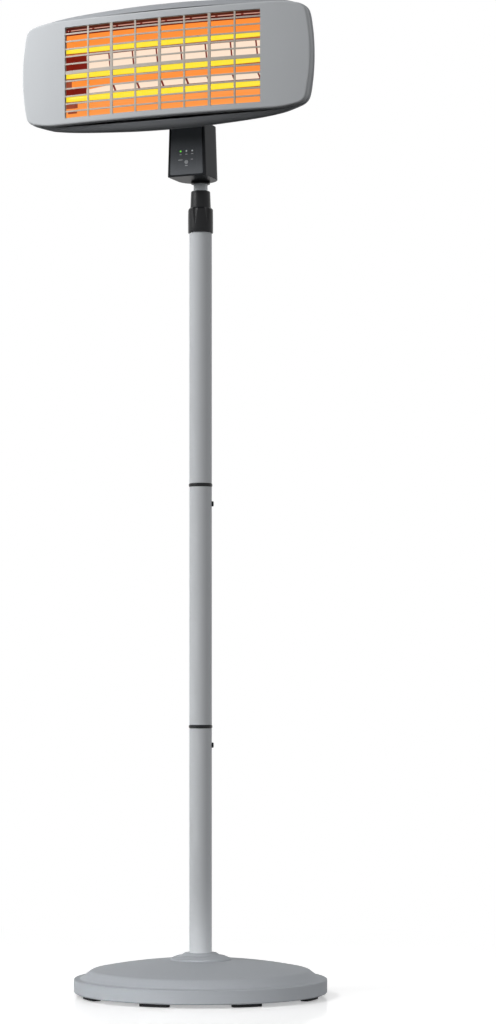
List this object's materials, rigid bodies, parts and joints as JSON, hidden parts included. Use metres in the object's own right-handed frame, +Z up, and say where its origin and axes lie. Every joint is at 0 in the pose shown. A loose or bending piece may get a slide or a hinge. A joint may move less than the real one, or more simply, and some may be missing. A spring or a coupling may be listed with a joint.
{
  "type": "infrared patio heater tower",
  "caption": "Free-standing infrared patio heater: weighted round base, sectional pole with a telescopic twist-lock mast, control box and a tilting heater head with quartz tubes behind a guard.",
  "frame": {"origin": "on the floor at the centre of the round base, on the pole axis", "axes": "+Z up along the pole, -Y the way the heater faces, +X to the right seen from behind it facing +Y"},
  "size_m": [0.541, 0.45, 1.7291],
  "materials": {
    "grey_paint": "smooth silver-grey powder coat",
    "grey_plastic": "satin moulded plastic",
    "zinc_steel": "zinc-plated sheet",
    "fasteners": "zinc-plated",
    "cast_iron": "rough, black primer",
    "rubber": "matt black",
    "black_plastic": "fine-textured black",
    "panel_plastic": "glossy black",
    "spring_steel": "bare spring strip",
    "mast_steel": "smooth grey powder coat",
    "label_film": "smooth film",
    "led_green": "clear lens, lit green",
    "led_grey": "clear lens, unlit",
    "button_plastic": "smooth black",
    "circuit_board": "green solder resist",
    "white_plastic": "off-white",
    "cast_aluminium": "black coated casting",
    "washer_nylon": "natural nylon",
    "silver_coat": "smooth silver-grey coat",
    "guard_steel": "silver heat-resistant coat",
    "mirror_aluminium": "mirror bright",
    "quartz": "clear quartz, glowing yellow",
    "filament": "glowing",
    "ceramic": "unglazed"
  },
  "bodies": {
    "base": {"base_cover": "grey_paint", "base_plate": "zinc_steel", "base_ballast": "cast_iron", "rubber_feet": "rubber", "base_screws": "fasteners", "pole_socket": "zinc_steel", "socket_bolts": "fasteners", "foot_collar": "grey_plastic", "lower_pole": "grey_paint", "middle_pole": "grey_paint", "upper_pole": "grey_paint", "lower_joint_ring": "black_plastic", "upper_joint_ring": "black_plastic", "lower_joint_sleeve": "zinc_steel", "upper_joint_sleeve": "zinc_steel", "lower_snap_spring": "spring_steel", "upper_snap_spring": "spring_steel", "collet_sleeve": "black_plastic"},
    "lower_snap": {"lower_snap_button": "black_plastic"},
    "upper_snap": {"upper_snap_button": "black_plastic"},
    "collar": {"twist_collar": "black_plastic", "cam_ring": "black_plastic"},
    "mast_guide": {"mast_guide_bush": "black_plastic"},
    "mast": {"mast_tube": "mast_steel", "mast_end_cap": "black_plastic", "mast_top_bush": "black_plastic", "box_shell": "black_plastic", "box_panel": "panel_plastic", "control_overlay": "label_film", "led_on": "led_green", "leds_idle": "led_grey", "key_switch": "button_plastic", "control_board": "circuit_board", "board_screws": "fasteners", "power_relays": "black_plastic", "mains_terminal": "white_plastic", "tip_switch": "black_plastic", "mains_gland": "black_plastic", "mast_screw": "fasteners", "hinge_block": "cast_aluminium", "hinge_screws": "fasteners", "friction_washers": "washer_nylon"},
    "button": {"power_button": "button_plastic"},
    "head": {"tilt_bracket": "zinc_steel", "pivot_bolt": "fasteners", "pivot_nut": "fasteners", "bracket_screws": "fasteners", "front_bezel": "silver_coat", "guard_grille": "guard_steel", "rear_shell": "silver_coat", "shell_screws": "fasteners", "reflector": "mirror_aluminium", "end_channels": "zinc_steel", "channel_screws": "fasteners", "quartz_tubes": "quartz", "heating_coils": "filament", "tube_caps": "ceramic", "heat_shield": "zinc_steel", "thermal_cutout": "ceramic", "terminal_block": "ceramic"}
  },
  "joints": [
    {"name": "mast_slide", "type": "slide", "parent": "base", "child": "mast_guide", "axis": [0, 0, 1], "range_m": [0, 0.35]},
    {"name": "mast_turn", "type": "hinge", "parent": "mast_guide", "child": "mast", "pos_m": [0, 0, 1], "axis": [0, 0, 1], "range_deg": [-180, 180]},
    {"name": "collar_twist", "type": "hinge", "parent": "base", "child": "collar", "pos_m": [0, 0, 1.377], "axis": [0, 0, 1], "range_deg": [0, 90]},
    {"name": "head_tilt", "type": "hinge", "parent": "mast", "child": "head", "pos_m": [0, -0.04, 1.558], "axis": [1, 0, 0], "range_deg": [0, 45]},
    {"name": "power_button_press", "type": "slide", "parent": "mast", "child": "button", "axis": [0, 1, 0], "range_m": [0, 0.0008], "stiffness_N_per_m": 800, "springref_m": -0.0005},
    {"name": "lower_snap_press", "type": "slide", "parent": "base", "child": "lower_snap", "axis": [-0.9239, -0.3827, 0], "range_m": [0, 0.0049], "stiffness_N_per_m": 1000, "springref_m": -0.001, "deforming": ["lower_snap_spring"]},
    {"name": "upper_snap_press", "type": "slide", "parent": "base", "child": "upper_snap", "axis": [-0.9239, -0.3827, 0], "range_m": [0, 0.0049], "stiffness_N_per_m": 1000, "springref_m": -0.001, "deforming": ["upper_snap_spring"]}
  ]
}
